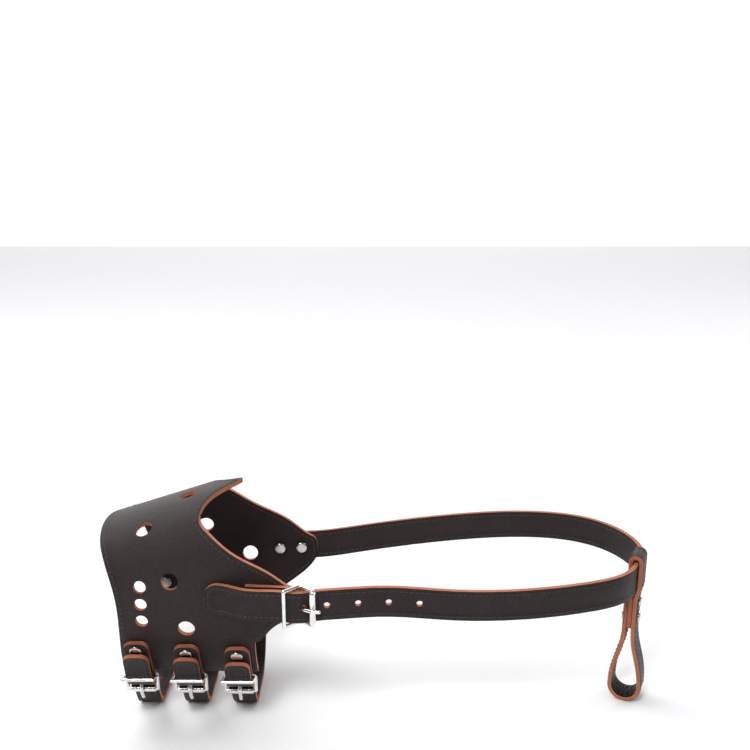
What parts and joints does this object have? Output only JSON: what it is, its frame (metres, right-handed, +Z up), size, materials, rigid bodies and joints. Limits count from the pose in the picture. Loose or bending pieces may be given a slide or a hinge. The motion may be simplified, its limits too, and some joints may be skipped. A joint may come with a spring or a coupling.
{
  "type": "leather basket muzzle",
  "caption": "Dark brown leather basket muzzle with round air holes, buckled chin straps, a long buckled neck strap and a hanger loop.",
  "frame": {"origin": "centre of the whole object's outline, at the level it rests on", "axes": "+X from the nose opening towards the neck strap, -Y towards the buckled side, +Z up from the table"},
  "size_m": [0.365, 0.1379, 0.1567],
  "materials": {
    "brown_leather": "satin",
    "lining_leather": "satin",
    "buckle_nickel": "polished",
    "rivet_nickel": "polished"
  },
  "bodies": {
    "harness": {"muzzle_skin": "brown_leather", "muzzle_lining": "lining_leather", "neck_strap": "brown_leather", "neck_strap_rivets": "rivet_nickel", "neck_chape": "brown_leather", "neck_chape_rivets": "rivet_nickel", "chin_strap_front": "brown_leather", "chin_strap_rivets_front": "rivet_nickel", "chin_chape_front": "brown_leather", "chin_chape_rivets_front": "rivet_nickel", "chin_strap_middle": "brown_leather", "chin_strap_rivets_middle": "rivet_nickel", "chin_chape_middle": "brown_leather", "chin_chape_rivets_middle": "rivet_nickel", "chin_strap_rear": "brown_leather", "chin_strap_rivets_rear": "rivet_nickel", "chin_chape_rear": "brown_leather", "chin_chape_rivets_rear": "rivet_nickel"},
    "neck_frame": {"neck_buckle_frame": "buckle_nickel"},
    "neck_roller": {"neck_buckle_roller": "buckle_nickel"},
    "neck_prong": {"neck_buckle_prong": "buckle_nickel"},
    "chin_front_frame": {"chin_front_buckle_frame": "buckle_nickel"},
    "chin_front_roller": {"chin_front_buckle_roller": "buckle_nickel"},
    "chin_front_prong": {"chin_front_buckle_prong": "buckle_nickel"},
    "chin_middle_frame": {"chin_middle_buckle_frame": "buckle_nickel"},
    "chin_middle_roller": {"chin_middle_buckle_roller": "buckle_nickel"},
    "chin_middle_prong": {"chin_middle_buckle_prong": "buckle_nickel"},
    "chin_rear_frame": {"chin_rear_buckle_frame": "buckle_nickel"},
    "chin_rear_roller": {"chin_rear_buckle_roller": "buckle_nickel"},
    "chin_rear_prong": {"chin_rear_buckle_prong": "buckle_nickel"},
    "hanger": {"hanger_loop": "brown_leather", "hanger_loop_rivets": "rivet_nickel"}
  },
  "joints": [
    {"name": "neck_buckle_rock", "type": "hinge", "parent": "harness", "child": "neck_frame", "pos_m": [-0.04967, -0.05731, 0.0985], "axis": [0, 0, -1], "range_deg": [0, 3]},
    {"name": "neck_roller_turn", "type": "hinge", "parent": "neck_frame", "child": "neck_roller", "pos_m": [-0.04166, -0.0636, 0.0985], "axis": [0, 0, -1], "continuous": true},
    {"name": "neck_prong_lift", "type": "hinge", "parent": "neck_frame", "child": "neck_prong", "pos_m": [-0.04967, -0.05731, 0.0985], "axis": [0, 0, -1], "range_deg": [0, 4]},
    {"name": "chin_front_buckle_rock", "type": "hinge", "parent": "harness", "child": "chin_front_frame", "pos_m": [-0.1559, -0.03486, 0.03378], "axis": [-1, 0, 0], "range_deg": [0, 3]},
    {"name": "chin_front_roller_turn", "type": "hinge", "parent": "chin_front_frame", "child": "chin_front_roller", "pos_m": [-0.1559, -0.03475, 0.02361], "axis": [-1, 0, 0], "continuous": true},
    {"name": "chin_front_prong_lift", "type": "hinge", "parent": "chin_front_frame", "child": "chin_front_prong", "pos_m": [-0.1559, -0.03486, 0.03378], "axis": [-1, 0, 0], "range_deg": [0, 4]},
    {"name": "chin_middle_buckle_rock", "type": "hinge", "parent": "harness", "child": "chin_middle_frame", "pos_m": [-0.1239, -0.03631, 0.03401], "axis": [-1, 0, 0], "range_deg": [0, 3]},
    {"name": "chin_middle_roller_turn", "type": "hinge", "parent": "chin_middle_frame", "child": "chin_middle_roller", "pos_m": [-0.1239, -0.0362, 0.02383], "axis": [-1, 0, 0], "continuous": true},
    {"name": "chin_middle_prong_lift", "type": "hinge", "parent": "chin_middle_frame", "child": "chin_middle_prong", "pos_m": [-0.1239, -0.03631, 0.03401], "axis": [-1, 0, 0], "range_deg": [0, 4]},
    {"name": "chin_rear_buckle_rock", "type": "hinge", "parent": "harness", "child": "chin_rear_frame", "pos_m": [-0.0914, -0.03779, 0.03424], "axis": [-1, 0, 0], "range_deg": [0, 3]},
    {"name": "chin_rear_roller_turn", "type": "hinge", "parent": "chin_rear_frame", "child": "chin_rear_roller", "pos_m": [-0.0914, -0.03768, 0.02406], "axis": [-1, 0, 0], "continuous": true},
    {"name": "chin_rear_prong_lift", "type": "hinge", "parent": "chin_rear_frame", "child": "chin_rear_prong", "pos_m": [-0.0914, -0.03779, 0.03424], "axis": [-1, 0, 0], "range_deg": [0, 4]},
    {"name": "hanger_slide", "type": "slide", "parent": "harness", "child": "hanger", "axis": [0.4226, 0.9063, 0], "range_m": [-0.003, 0.003]}
  ]
}
